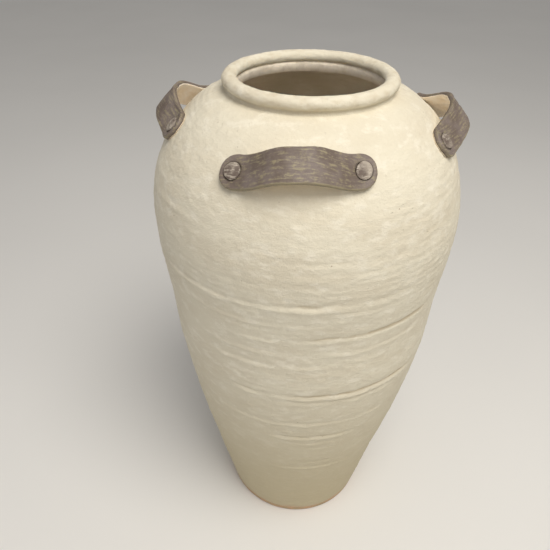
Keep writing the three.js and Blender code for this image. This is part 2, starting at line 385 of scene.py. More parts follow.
def turned_piece(name, rows, relief, materials, inner_from=None, capped=False):
    """A piece of revolution from rows of points round the jar, in order up the outside and down the
    inside. A capped piece is closed to the axis at both ends."""
    points = np.stack(rows)
    count, columns = points.shape[:2]
    faces = ring_faces(count, columns, not capped)
    inside = []
    if inner_from is not None:
        inside = np.arange(inner_from * columns, len(faces))
    faces = faces.tolist()
    flat = points.reshape(-1, 3)
    marks = np.stack([np.broadcast_to(row, columns) for row in relief]).ravel()
    if capped:
        first, last = len(flat), len(flat) + 1
        end = (count - 1) * columns
        flat = np.vstack([flat, points[0].mean(0), points[-1].mean(0)])
        marks = np.append(marks, [0, 0])
        faces += [[(i + 1) % columns, i, first] for i in range(columns)]
        faces += [[end + i, end + (i + 1) % columns, last] for i in range(columns)]
    return write_object(name, flat, faces, materials, inside, {"relief": marks})


def round_steps():
    count = bpy.context.scene.amphora_wall.round_steps
    return np.arange(count) * 2 * math.pi / count


def keyed_edge(distance, spare):
    """Radius and height of the edge that keys one section into the next, from outside to inside."""
    middle = WALL_THICKNESS / 2
    return [
        WALL.point(distance, middle - KEY_FOOT - spare, spare),
        WALL.point(distance, middle - KEY_CREST - spare, KEY_HEIGHT + spare),
        WALL.point(distance, middle + KEY_CREST + spare, KEY_HEIGHT + spare),
        WALL.point(distance, middle + KEY_FOOT + spare, spare),
    ]


def inner_row(azimuth, distance):
    """The inner face, with the soft spiral that the fingers leave as the wall is drawn up."""
    spiral = INSIDE_SPIRAL_DEPTH * np.sin(distance * 2 * math.pi / INSIDE_SPIRAL_PITCH + azimuth)
    spiral = spiral + layered(azimuth, distance, INSIDE_UNEVEN)
    radius, height = WALL.point(distance, WALL_THICKNESS + RELIEF_MIDDLE + spiral)
    return round_jar(azimuth, radius, height)


def section_piece(name, bottom, top, bottom_edge, top_edge, materials):
    """One ring of the wall between two distances along it."""
    azimuth = round_steps()
    settings = bpy.context.scene.amphora_wall
    outer = np.linspace(bottom, top, 2 + round((top - bottom) / settings.row_step))
    inner = np.linspace(top, bottom, 2 + round((top - bottom) / (3 * settings.row_step)))
    rows = [wall_point(azimuth, distance) for distance in outer]
    relief = [hand_marks(azimuth, distance) for distance in outer]
    rows += [round_jar(azimuth, *place) for place in top_edge]
    inner_from = len(rows) - 1
    rows += [inner_row(azimuth, distance) for distance in inner]
    rows += [round_jar(azimuth, *place) for place in reversed(bottom_edge)]
    relief += [0] * (len(rows) - len(relief))
    return turned_piece(name, rows, relief, materials, inner_from)


# ---------------------------------------------------------------------------------------------
# The straps and rivets, made flat and bent onto the shoulder


HANDLE_DISTANCE = WALL.distance_at(HANDLE_HEIGHT)
RIVET_ANGLE = RIVET_PLACE / WALL.at(HANDLE_DISTANCE)[0]


def strap_lift(distance):
    """How far the strap's underside stands off the wall at a distance from its middle."""
    rise = 1 - smoothstep(distance, LIFT_FULL, LIFT_START)
    crown = np.cos(np.minimum(distance, LIFT_START) / LIFT_START * math.pi / 2)
    return STRAP_LIFT * ((1 - CROWN) * rise + CROWN * crown)


def bend(flat, place):
    """Bends points of a flat strap (along, across, above) onto the shoulder at a handle's place."""
    along, across, above = flat.T
    handle = HANDLES[place]
    azimuth = math.radians(handle.azimuth)
    away = np.abs(along)
    lift = strap_lift(away)
    distance = HANDLE_DISTANCE + across + handle.lean * along + handle.bow * lift / STRAP_LIFT
    radius = WALL.at(distance)[0]
    near = RIVET_ANGLE * away / RIVET_PLACE
    far = RIVET_ANGLE + (away - RIVET_PLACE) / radius
    turn = azimuth + np.sign(along) * np.where(away > RIVET_PLACE, far, near)
    return wall_point(turn, distance, SEAM + lift + above)


def flat_noise(along, across, length, width, seed):
    """Noise from -1 to 1 in cells so long and wide on a flat strap."""
    table = np.random.default_rng(seed).uniform(-1, 1, (64, 64))
    return cells(table, along / length + 32, across / width + 32)


# A layer of unevenness on a strap or a pellet: how deep it is, how long and wide its cells are, and
# what it adds to the piece's seed.
FlatLayer = namedtuple("FlatLayer", "depth length width step")
OUTLINE_WAVES = [FlatLayer(0.018, 24, 60, 0), FlatLayer(0.008, 7, 30, 1)]  # as shares of the width
STRAP_FACE = [FlatLayer(0.22, 20, 2.2, 2), FlatLayer(0.35, 18, 11, 3), FlatLayer(0.15, 5, 4, 4)]
THUMBED_FACE = [FlatLayer(0.45, 6, 6, 0), FlatLayer(0.25, 2.2, 2.2, 1)]
STRAP_EDGE_ROUND, STRAP_BACK_ROUND = 2.4, 1.6
STRAP_BACK_TOP = 1.2  # faces lower than this are the strap's back
STRAP_DISH = 0.8  # how far the strap's face is dished along its middle
STRAP_GRID = (150, 40)  # steps along and across a strap
SOCKET_STEPS = 72
SOCKET_FOOT_INSIDE, SOCKET_MOUTH_INSIDE = 0.8, 0.3  # a socket narrows a little towards its floor
PRESSED_DEPTH, PRESSED_WIDTH = 0.3, 1.3  # the strap sinks round a pressed socket


def flat_layered(along, across, layers, seed):
    """Layers of unevenness on a flat strap or pellet, added together."""
    total = 0
    for layer in layers:
        noise = flat_noise(along, across, layer.length, layer.width, seed + layer.step)
        total = total + layer.depth * noise
    return total


def strap_half_width(distance):
    share = smoothstep(distance, LIFT_FULL, RIVET_PLACE)
    return STRAP_MIDDLE_HALF_WIDTH + share * (STRAP_END_RADIUS - STRAP_MIDDLE_HALF_WIDTH)


def strap_outline(share, side):
    """A square's point to the strap's flat outline: along, across, and how near it is to the edge."""
    straight_share = 1 - STRAP_END_RADIUS / STRAP_HALF_LENGTH
    straight = STRAP_HALF_LENGTH - STRAP_END_RADIUS
    reach = np.abs(share)
    into = np.maximum(0, (reach - straight_share) / (1 - straight_share))
    along = np.where(
        into > 0,
        straight + STRAP_END_RADIUS * into * np.sqrt(1 - side**2 / 2),
        reach / straight_share * straight,
    )
    across = np.where(
        into > 0,
        STRAP_END_RADIUS * side * np.sqrt(1 - into**2 / 2),
        side * strap_half_width(along),
    )
    edge = np.sqrt(into**2 + side**2 - into**2 * side**2)
    return np.sign(share) * along, across, edge


def flat_strap(seed):
    """The strap as a slab with rounded edges: its points and faces."""
    long_steps, wide_steps = STRAP_GRID
    share = np.linspace(-1, 1, long_steps + 1)[:, None]
    side = np.sin(np.linspace(-1, 1, wide_steps + 1) * math.pi / 2)[None, :]
    share, side = np.broadcast_arrays(share, side)
    along, across, edge = strap_outline(share, side)
    across = across * (1 + flat_layered(along, across, OUTLINE_WAVES, seed))
    inset = (1 - edge) * STRAP_END_RADIUS

    def rounded(radius):
        return radius - np.sqrt(np.maximum(0, radius**2 - np.maximum(0, radius - inset) ** 2))

    dish = STRAP_DISH * np.cos(np.clip(across / STRAP_MIDDLE_HALF_WIDTH, -1, 1) * math.pi / 2)
    top = STRAP_THICKNESS - 0.1 - rounded(STRAP_EDGE_ROUND) - dish
    top = top + flat_layered(along, across, STRAP_FACE, seed)
    bottom = 0.9 * rounded(STRAP_BACK_ROUND)
    rows, columns = along.shape
    upper = np.stack([along, across, top], -1).reshape(-1, 3)
    lower = np.stack([along, across, bottom], -1).reshape(-1, 3)
    index = np.arange(rows * columns).reshape(rows, columns)
    corners = [index[:-1, :-1], index[1:, :-1], index[1:, 1:], index[:-1, 1:]]
    quads = np.stack(corners, -1).reshape(-1, 4)
    rim = np.concatenate([index[:-1, 0], index[-1, :-1], index[:0:-1, -1], index[0, :0:-1]])
    after = np.roll(rim, -1)
    below = rows * columns
    walls = np.stack([rim + below, after + below, after, rim], -1)
    faces = np.vstack([quads, quads[:, ::-1] + below, walls])
    return np.vstack([upper, lower]), faces.tolist()


def cut_sockets(points, faces):
    """Presses a round socket into each end of a flat strap, and returns its points and faces."""
    scene = bpy.context.scene
    mesh = bpy.data.meshes.new("flat_strap")
    mesh.from_pydata(points, [], faces)
    strap = bpy.data.objects.new("flat_strap", mesh)
    scene.collection.objects.link(strap)
    cutters = []
    for side in (-1, 1):
        round_cut = bmesh.new()
        depth = RIVET_SOCKET_DEPTH + 3
        middle = STRAP_THICKNESS - RIVET_SOCKET_DEPTH + depth / 2
        place = Matrix.Translation((side * RIVET_PLACE, 0, middle))
        bmesh.ops.create_cone(
            round_cut,
            cap_ends=True,
            segments=SOCKET_STEPS,
            radius1=RIVET_SOCKET_RADIUS - SOCKET_FOOT_INSIDE,
            radius2=RIVET_SOCKET_RADIUS - SOCKET_MOUTH_INSIDE,
            depth=depth,
            matrix=place,
        )
        cutter_mesh = bpy.data.meshes.new("socket_cutter")
        round_cut.to_mesh(cutter_mesh)
        round_cut.free()
        cutter = bpy.data.objects.new("socket_cutter", cutter_mesh)
        scene.collection.objects.link(cutter)
        cut = strap.modifiers.new("socket", "BOOLEAN")
        cut.operation = "DIFFERENCE"
        cut.solver = "EXACT"
        cut.object = cutter
        cutters.append(cutter)
    cut_strap = strap.evaluated_get(bpy.context.evaluated_depsgraph_get())
    shaped = bpy.data.meshes.new_from_object(cut_strap)
    flat = np.array([vertex.co for vertex in shaped.vertices])
    cut_faces = [list(polygon.vertices) for polygon in shaped.polygons]
    for tool in [strap, *cutters]:
        bpy.data.objects.remove(tool)
    for spare in (mesh, shaped):
        bpy.data.meshes.remove(spare)
    return flat, cut_faces


SIDE_WORN, TIP_WORN = (0.82, 0.98), (0.86, 0.98)  # shares of the way out where an edge gets worn
SOCKET_SHADE_INSIDE, SOCKET_SHADE_OUTSIDE = 1.2, 0.8  # how wide the painted shade lies at a socket's edge, inside it and outside it
SOCKET_SHADE_SHARE = 1.4


def strap_marks(flat):
    """Worn edges count up, and the rings round the sockets count down, where shade is painted."""
    along, across, above = flat.T
    side_edge = smoothstep(np.abs(across) / strap_half_width(np.abs(along)), *SIDE_WORN)
    straight = STRAP_HALF_LENGTH - STRAP_END_RADIUS
    tip = np.hypot(np.maximum(0, np.abs(along) - straight), across)
    tip_edge = smoothstep(tip / STRAP_END_RADIUS, *TIP_WORN)
    ring = np.hypot(np.abs(along) - RIVET_PLACE, across) - RIVET_SOCKET_RADIUS
    inside = np.exp(-((np.minimum(ring, 0) / SOCKET_SHADE_INSIDE) ** 2))
    outside = np.exp(-((np.maximum(ring, 0) / SOCKET_SHADE_OUTSIDE) ** 2))
    return np.maximum(side_edge, tip_edge) - SOCKET_SHADE_SHARE * inside * outside


def strap_piece(name, place, seed, materials):
    """A strap with its sockets, bent onto the shoulder. Its back takes the second material."""
    flat, faces = cut_sockets(*flat_strap(seed))
    along, across, above = flat.T
    ring = np.hypot(np.abs(along) - RIVET_PLACE, across) - RIVET_SOCKET_RADIUS
    on_face = above > STRAP_THICKNESS - 2
    pressed = PRESSED_DEPTH * np.exp(-((ring / PRESSED_WIDTH) ** 2)) * on_face
    shaped = np.stack([along, across, above - pressed], -1)
    middles = np.array([flat[face].mean(0) for face in faces])
    back = np.nonzero(middles[:, 2] < STRAP_BACK_TOP)[0]
    marks = {"wear": strap_marks(flat) * (above > STRAP_THICKNESS / 2), "strap_place": flat * MM}
    return write_object(name, bend(shaped, place), faces, materials, back, marks)


# The side of a pellet, from its foot to its edge, as shares of its radius and of its edge's height.
PELLET_SIDE = [(0.25, 0), (0.6, 0), (0.95, 0), (1, 0.05), (1, 0.5), (1, 0.78)]
PELLET_SIDE += [
    (0.94 + 0.06 * math.cos(turn), 0.78 + 0.22 * math.sin(turn)) for turn in np.linspace(0.3, 1.3, 4)
]
PELLET_STEPS = 64


def rivet_piece(name, place, side, seed, materials):
    """A pressed pellet: a low domed disc with a thumbed face and a soft edge, bent with its strap."""
    steps = PELLET_STEPS
    angle = np.arange(steps) * 2 * math.pi / steps
    edge = RIVET_SOCKET_DEPTH + RIVET_PROUD
    outline = [(share * RIVET_RADIUS, SEAM + rise * (edge - SEAM)) for share, rise in PELLET_SIDE]
    for share in np.linspace(0.92, 0.05, 12):
        outline.append((share * RIVET_RADIUS, edge + RIVET_DOME * (1 - share**2)))
    not_round = 1 + 0.025 * np.cos(2 * angle + seed) + 0.02 * np.cos(3 * angle + 2 * seed)
    floor = STRAP_THICKNESS - RIVET_SOCKET_DEPTH
    rows = []
    for radius, height in outline:
        along, across = radius * not_round * np.cos(angle), radius * not_round * np.sin(angle)
        thumbed = flat_layered(along, across, THUMBED_FACE, seed) * smoothstep(height, edge - 1, edge)
        rows.append(np.stack([side * RIVET_PLACE + along, across, floor + height + thumbed], -1))
    grid = np.stack(rows)
    count = len(grid)
    faces = ring_faces(count, steps, False).tolist()
    faces += [[(i + 1) % steps, i, count * steps] for i in range(steps)]
    top = (count - 1) * steps
    faces += [[top + i, top + (i + 1) % steps, count * steps + 1] for i in range(steps)]
    flat = np.vstack([grid.reshape(-1, 3), grid[0].mean(0), grid[-1].mean(0)])
    from_middle = np.hypot(flat[:, 0] - side * RIVET_PLACE, flat[:, 1]) / RIVET_RADIUS
    # Worn towards the pellet's edge, with painted shade in the crevice round its rim
    wear = 0.5 * smoothstep(from_middle, 0.6, 0.9) - 1.2 * smoothstep(from_middle, 0.95, 1.0)
    marks = {"wear": wear, "strap_place": flat * MM}
    return write_object(name, bend(flat, place), faces, materials, (), marks)


# ---------------------------------------------------------------------------------------------
# Materials


def linear(hex_text):
    """An sRGB colour such as c9a988 as linear red, green, blue and 1."""
    shown = [int(hex_text[i : i + 2], 16) / 255 for i in (0, 2, 4)]
    lit = [part / 12.92 if part <= 0.04045 else ((part + 0.055) / 1.055) ** 2.4 for part in shown]
    return (*lit, 1)


def per_mm(size):
    """A texture scale whose features are about that many millimetres across."""
    return 1 / (size * MM)


def add_node(tree, kind, inputs=None, **settings):
    """Adds a node with its settings, and sets its inputs or links them. A node that is given as an
    input is linked from its first output."""
    node = tree.nodes.new(kind)
    for setting, value in settings.items():
        setattr(node, setting, value)
    for socket, value in (inputs or {}).items():
        if isinstance(value, bpy.types.Node):
            value = value.outputs[0]
        if isinstance(value, bpy.types.NodeSocket):
            tree.links.new(value, node.inputs[socket])
        else:
            node.inputs[socket].default_value = value
    return node


def blank_material(name):
    material = bpy.data.materials.new(name)
    material.use_nodes = True
    material.node_tree.nodes.clear()
    return material, material.node_tree


# A pattern: the size of its features in mm, its detail and roughness, and how much it is squashed.
Pattern = namedtuple("Pattern", "size detail rough squash", defaults=[1])

# A coat of colour: it shows by a share from start to end as its field goes from low to high.
Coat = namedtuple("Coat", "field low high start end colour")

# Dots in the cells of a ragged grid: its spacing in mm, the share of a cell that a dot's core and its
# soft edge take, how strong a dot is, and how many cells have none, up to how many have a faint one.
Dots = namedtuple("Dots", "spacing core edge strength empty faint")
UMBER_SPOTS = Dots(15, 0.03, 0.07, 0.8, 0.8, 0.82)
SLIP_PITS = Dots(9, 0.04, 0.12, 1, 0.6, 0.64)

CLAY_IOR = 1.5
MIXED, UNDER, OVER = 2, 6, 7  # a colour mix's output and its two colours


def uneven_patterns(tree, place, patterns):
    """Cloudy patterns at a place, one for each that is asked for."""
    made = []
    for pattern in patterns:
        inputs = {"Vector": place, "Scale": (1, 1, pattern.squash)}
        squashed = add_node(tree, "ShaderNodeMapping", inputs)
        inputs = {"Vector": squashed, "Scale": per_mm(pattern.size)}
        inputs |= {"Detail": pattern.detail, "Roughness": pattern.rough}
        made.append(add_node(tree, "ShaderNodeTexNoise", inputs))
    return made


def scattered_dots(tree, place, dots):
    """Round dots, in only some of the cells of a ragged grid."""
    cell = add_node(tree, "ShaderNodeTexVoronoi", {"Vector": place, "Scale": per_mm(dots.spacing)})
    inputs = {"Value": cell.outputs["Distance"], "From Min": dots.core, "From Max": dots.edge}
    inputs |= {"To Min": dots.strength, "To Max": 0}
    dot = add_node(tree, "ShaderNodeMapRange", inputs, interpolation_type="SMOOTHSTEP")
    inputs = {"Value": cell.outputs["Color"], "From Min": dots.empty, "From Max": dots.faint}
    chosen = add_node(tree, "ShaderNodeMapRange", inputs, interpolation_type="SMOOTHSTEP")
    return add_node(tree, "ShaderNodeMath", {0: dot, 1: chosen}, operation="MULTIPLY")


def weighted(tree, parts):
    """Fields added together, each by its weight."""
    total = 0.0
    for field, weight in parts:
        inputs = {0: field, 1: weight, 2: total}
        total = add_node(tree, "ShaderNodeMath", inputs, operation="MULTIPLY_ADD")
    return total


def coated(tree, ground, coats):
    """A ground's colour with coats of others over it."""
    colour = ground
    for coat in coats:
        inputs = {"Value": coat.field, "From Min": coat.low, "From Max": coat.high}
        inputs |= {"To Min": coat.start, "To Max": coat.end}
        share = add_node(tree, "ShaderNodeMapRange", inputs, interpolation_type="SMOOTHSTEP")
        inputs = {"Factor": share, UNDER: colour, OVER: tuple(coat.colour)}
        colour = add_node(tree, "ShaderNodeMix", inputs, data_type="RGBA").outputs[MIXED]
    return colour


def fired(tree, colour, roughness, height, depth_mm, strength):
    """Gives the clay its colour and dullness, and a surface that is so many mm deep."""
    inputs = {"Height": height, "Distance": depth_mm * MM, "Strength": strength}
    surface = add_node(tree, "ShaderNodeBump", inputs)
    inputs = {"Base Color": colour, "Roughness": roughness, "IOR": CLAY_IOR, "Normal": surface}
    shader = add_node(tree, "ShaderNodeBsdfPrincipled", inputs)
    add_node(tree, "ShaderNodeOutputMaterial", {"Surface": shader})


def slip_material(name):
    """Cream slip daubed over earthenware by hand and left matt: thick in some places and thin in
    others, so its colour drifts from ivory to a pinkish grey, and it dulls every highlight."""
    colours = bpy.context.scene.amphora_colours
    material, tree = blank_material(name)
    place = add_node(tree, "ShaderNodeTexCoord").outputs["Object"]
    height = add_node(tree, "ShaderNodeSeparateXYZ", {"Vector": place}).outputs["Z"]
    relief = add_node(tree, "ShaderNodeAttribute", attribute_name="relief").outputs["Fac"]
    clouds, daubs, fine, foot_wander, grain, lumps = uneven_patterns(
        tree,
        place,
        [
            Pattern(90, 5, 0.6, 2.2),
            Pattern(22, 6, 0.62, 1.8),
            Pattern(4.5, 4, 0.65),
            Pattern(40, 3, 0.5),
            Pattern(1.9, 4, 0.7),
            Pattern(9, 6, 0.62, 1.7),
        ],
    )
    brushed = [
        Coat(clouds, 0.36, 0.66, 0, 0.4, colours.slip_thin),
        Coat(daubs, 0.5, 0.66, 0, 0.6, colours.slip_thick),
        Coat(fine, 0.56, 0.74, 0, 0.35, colours.slip_thin),
        # painted shade: the slip darkens towards the foot, as the light falls off down the wall
        Coat(height, 0.05, 0.5, 0.9, 0, colours.low_wall_painted_shade),
        Coat(relief, -2.8, -1.2, 0.6, 0, colours.clay_wash),
    ]
    base = coated(tree, tuple(colours.slip), brushed)
    spots = scattered_dots(tree, place, UMBER_SPOTS)
    inputs = {"Factor": spots, UNDER: base, OVER: tuple(colours.spot)}
    base = add_node(tree, "ShaderNodeMix", inputs, data_type="RGBA").outputs[MIXED]
    above_foot = weighted(tree, [(foot_wander, -0.03), (height, 1)])
    base = coated(tree, base, [Coat(above_foot, -0.012, 0.006, 0.7, 0, colours.foot)])
    inputs = {"Value": daubs, "From Min": 0.35, "From Max": 0.65, "To Min": 0.9, "To Max": 0.76}
    dull = add_node(tree, "ShaderNodeMapRange", inputs, interpolation_type="SMOOTHSTEP")
    pits = scattered_dots(tree, place, SLIP_PITS)
    plaster = weighted(tree, [(lumps, 1), (grain, 0.4), (pits, -0.5)])
    fired(tree, base, dull, plaster, 1.6, 0.8)
    return material


def inner_clay_material(name):
    """Earthenware inside the jar, raw from the wheel with a thin wash over it: pale, dusty and dull."""
    colours = bpy.context.scene.amphora_colours
    material, tree = blank_material(name)
    place = add_node(tree, "ShaderNodeTexCoord").outputs["Object"]
    cloudy, streaks, grain = uneven_patterns(
        tree, place, [Pattern(60, 5, 0.6), Pattern(30, 4, 0.6, 5), Pattern(2.4, 4, 0.7)]
    )
    washes = [
        Coat(cloudy, 0.3, 0.7, 0, 0.6, colours.slip_thin),
        Coat(streaks, 0.5, 0.75, 0, 0.5, colours.slip_thin),
    ]
    fired(tree, coated(tree, tuple(colours.inside), washes), 0.92, grain, 0.9, 0.7)
    return material


def bare_clay_material(name, ground, shade):
    """Earthenware left bare after firing: open-grained, specked and quite dull."""
    material, tree = blank_material(name)
    place = add_node(tree, "ShaderNodeTexCoord").outputs["Object"]
    cloudy, specks, grain = uneven_patterns(
        tree, place, [Pattern(18, 5, 0.6), Pattern(1.8, 2, 0.6), Pattern(1.6, 3, 0.7)]
    )
    coats = [Coat(cloudy, 0.35, 0.7, 0, 1, shade), Coat(specks, 0.62, 0.72, 0, 0.5, shade)]
    fired(tree, coated(tree, tuple(ground), coats), 0.9, grain, 0.5, 0.7)
    return material


def neck_wash_material(name):
    """The inside of the neck, wiped with thin umber: an even greyish brown that hides the cream."""
    colours = bpy.context.scene.amphora_colours
    return bare_clay_material(name, colours.neck, colours.neck_shade)


def foot_clay_material(name):
    """The jar's underside, where the slip was wiped off: a warm sandy brown."""
    colours = bpy.context.scene.amphora_colours
    return bare_clay_material(name, colours.foot, colours.clay_wash)


def strap_back_material(name):
    """The backs of the straps, which the stain never reached: pale and peach."""
    colours = bpy.context.scene.amphora_colours
    return bare_clay_material(name, colours.peach, colours.peach_shade)


def stain_material(name, ground, rub, rub_share):
    """Umber stain on clay, dry-brushed along the strap: the stain stays in the hollows, and what is
    brushed over it catches on the brush's ridges, in fine flecks and on the worn edges. Painted shade
    darkens the rings round the sockets and the pellets and the low sides by the strap's back, and a
    painted highlight lightens the strap's lower edge."""
    colours = bpy.context.scene.amphora_colours
    material, tree = blank_material(name)
    place = add_node(tree, "ShaderNodeAttribute", attribute_name="strap_place").outputs["Vector"]
    wear = add_node(tree, "ShaderNodeAttribute", attribute_name="wear").outputs["Fac"]
    seat = add_node(tree, "ShaderNodeTexCoord").outputs["Object"]
    part = add_node(tree, "ShaderNodeSeparateXYZ", {"Vector": place})
    across, above = part.outputs["Y"], part.outputs["Z"]
    # Each strap is brushed differently, so the strokes move with where the strap sits on the jar.
    shift = add_node(tree, "ShaderNodeMapping", {"Vector": seat, "Scale": (0.2, 0.2, 0)})
    moved = add_node(tree, "ShaderNodeVectorMath", {0: place, 1: shift}, operation="ADD")
    stroked = add_node(tree, "ShaderNodeMapping", {"Vector": moved, "Scale": (0.16, 1, 1)})
    [brush] = uneven_patterns(tree, stroked, [Pattern(2.4, 5, 0.65)])
    [smears] = uneven_patterns(tree, moved, [Pattern(12, 5, 0.65)])
    cloudy, flecks, worn = uneven_patterns(
        tree, seat, [Pattern(24, 4, 0.55), Pattern(4.2, 5, 0.7), Pattern(6, 4, 0.65)]
    )
    brushed = weighted(tree, [(smears, 0.4), (brush, 0.9), (flecks, 0.5)])
    # Painted highlight: the strap's lower edge is lightened as if a lip there caught the light
    inputs = {"Value": across, "From Min": -0.011, "From Max": -0.017, "To Min": 0, "To Max": 0.7}
    lower_edge_painted_highlight = add_node(tree, "ShaderNodeMapRange", inputs, interpolation_type="SMOOTHSTEP")
    edge = weighted(tree, [(lower_edge_painted_highlight, 1), (wear, 1), (worn, 1.5)])
    coats = [
        Coat(cloudy, 0.36, 0.66, 0, 1, colours.strap_shade),
        Coat(brushed, 0.86, 1.12, 0, rub_share, rub),
        Coat(brush, 0.42, 0.28, 0, 0.4, colours.strap_shade),
        Coat(flecks, 0.42, 0.3, 0, 0.5, colours.strap_shade),
        # worn edges, and the painted highlight along the lower edge
        Coat(edge, 1.5, 2.4, 0, 0.6, rub),
        # painted shade in the rings round the sockets and round the pellets
        Coat(wear, -1.3, -0.6, 0.7, 0, colours.groove),
        # painted shade on the strap's low sides near its back, against the wall, and at the pellets'
        # feet
        Coat(above, 0.0008, 0.0042, 0.75, 0, colours.groove),
    ]
    inputs = {"Value": brush, "From Min": 0.35, "From Max": 0.7, "To Min": 0.68, "To Max": 0.5}
    dull = add_node(tree, "ShaderNodeMapRange", inputs, interpolation_type="SMOOTHSTEP")
    scratched = weighted(tree, [(brush, 1), (flecks, 0.9)])
    fired(tree, coated(tree, tuple(ground), coats), dull, scratched, 0.7, 0.7)
    return material


def strap_stain_material(name):
    """The straps: bronze dry-brushed on umber, so they look like worn leather."""
    colours = bpy.context.scene.amphora_colours
    return stain_material(name, colours.strap, colours.bronze, 0.75)


def rivet_stain_material(name):
    """The pellets: a paler umber, rubbed nearly back to the clay."""
    colours = bpy.context.scene.amphora_colours
    return stain_material(name, colours.rivet, colours.rivet_rub, 0.9)


FINISHES = {
    "brushed_cream_slip": slip_material,
    "washed_raw_earthenware": inner_clay_material,
    "umber_wiped_earthenware": neck_wash_material,
    "bare_fired_earthenware": foot_clay_material,
    "bare_peach_clay": strap_back_material,
    "bronzed_umber_stain": strap_stain_material,
    "rubbed_umber_stain": rivet_stain_material,
}


def finish(name):
    """A named finish, which is mixed when the first piece asks for it."""
    return bpy.data.materials.get(name) or FINISHES[name](name)


# ---------------------------------------------------------------------------------------------
# Settings


def colour_property(name, description, hex_text):
    ground = linear(hex_text)
    return FloatVectorProperty(
        name=name, description=description, subtype="COLOR", size=4, min=0, max=1, default=ground
    )


def angle_property(name, description, degrees):
    angle = math.radians(degrees)
    return FloatProperty(name=name, description=description, subtype="ANGLE", default=angle)


class AmphoraWall(bpy.types.PropertyGroup):
    """How fine and how marked the wall is."""

    round_steps: IntProperty(
        name="Round steps", description="Points round the jar", default=480, min=48
    )
    row_step: FloatProperty(
        name="Row step", description="Height of a row of faces, in mm", default=2.6, min=1
    )
    mark_depth: FloatProperty(
        name="Mark depth",
        description="How deep the maker's marks are",
        default=1.0,
        min=0,
        max=2,
        subtype="FACTOR",
    )


class AmphoraColours(bpy.types.PropertyGroup):
    """The colours of the slip, the clay and the paint."""

    slip: colour_property("Slip", "Most of the slip", "e3dcc8")
    slip_thin: colour_property("Thin slip", "Where clay shows through", "d5cab3")
    slip_thick: colour_property("Thick slip", "Full brush strokes", "efe9d8")
    clay_wash: colour_property("Clay wash", "What lies in the hollows", "b5a17e")
    # Painted shade: the slip darkened towards the foot, where less light falls
    low_wall_painted_shade: colour_property("Low wall", "Duller slip towards the foot", "c1b596")
    spot: colour_property("Spot", "Small umber splashes", "8c7659")
    inside: colour_property("Inside", "Raw wall inside the jar", "f0e8da")
    neck: colour_property("Neck", "Umber wiped inside the neck", "e9dfce")
    neck_shade: colour_property("Neck shade", "Umber where it is wiped on thicker", "cbbfad")
    foot: colour_property("Foot", "Bare clay at the foot", "c9a685")
    peach: colour_property("Strap back", "Bare clay behind the straps", "fdf2e4")
    peach_shade: colour_property("Strap back shade", "Darker clay behind the straps", "f5e3cb")
    strap: colour_property("Strap", "Umber stain on the straps", "7b6f69")
    strap_shade: colour_property("Strap shade", "Umber where it is thickest", "6a5d54")
    # Painted shade: the darkest umber, painted in the crevices round the rivets and under the straps
    groove: colour_property("Groove", "Umber that settled round the rivets", "4a3f35")
    bronze: colour_property("Bronze", "Dry-brushed bronze", "a09676")
    rivet: colour_property("Rivet", "Umber stain on the rivets", "a89d90")
    rivet_rub: colour_property("Rivet rub", "Where the rivets are rubbed", "c4baab")


class AmphoraStage(bpy.types.PropertyGroup):
    """Where the jar is looked at from, and in what light."""

    camera_distance: FloatProperty(
        name="Camera distance", description="From the jar's axis", default=0.7325, unit="LENGTH"
    )
    camera_height: FloatProperty(
        name="Camera height", description="Above the floor", default=1.0012, unit="LENGTH"
    )
    camera_bearing: angle_property("Camera bearing", "Round to the right", 2.9)
    camera_pan: angle_property("Pan", "Turned to the left", 6.36)
    camera_tilt: angle_property("Tilt", "Down from level", 35.84)
    camera_roll: angle_property("Roll", "About the view", 0.44)
    lens: FloatProperty(
        name="Lens", description="Focal length on a 36 mm sensor", default=36.07, unit="CAMERA"
    )
    key_power: FloatProperty(
        name="Key light", description="Power of the large light above", default=56, unit="POWER"
    )
    fill_power: FloatProperty(
        name="Fill light", description="Power of the light on the left", default=3, unit="POWER"
    )
    front_power: FloatProperty(
        name="Front light", description="Power of the light in front", default=3, unit="POWER"
    )
    mouth_power: FloatProperty(
        name="Mouth light",
        description="Power of the lamp that opens up the inside",
        default=26,
        unit="POWER",
    )
    sky: FloatProperty(
        name="Room light", description="Strength of the light from all round", default=0.36, min=0
    )
    floor: colour_property("Floor", "The studio floor", "eeedea")


# ---------------------------------------------------------------------------------------------
# Operators


UNDERSIDE_RADIUS = 123.5  # the flat part of the jar's underside
UNDERSIDE_RINGS = (0.05, 0.2, 0.4, 0.6, 0.8, 0.94)
UNDERSIDE_HOLLOW = 0.5  # the middle of the slab is lifted so that the jar stands on its edge
FOOT_TUCK, FOOT_TUCK_HEIGHT = 1.8, 2.5  # the wiped edge round the underside
FLOOR_RADIUS = 127  # the slab's upper face, inside the jar
FLOOR_DROP = 0.6
FLOOR_SPIRAL, FLOOR_SPIRAL_TURN = 0.5, 52  # how deep the fingers' spiral is, and its whole turn
UNDERSIDE_SPIRAL, UNDERSIDE_SPIRAL_TURN = 0.12, 40


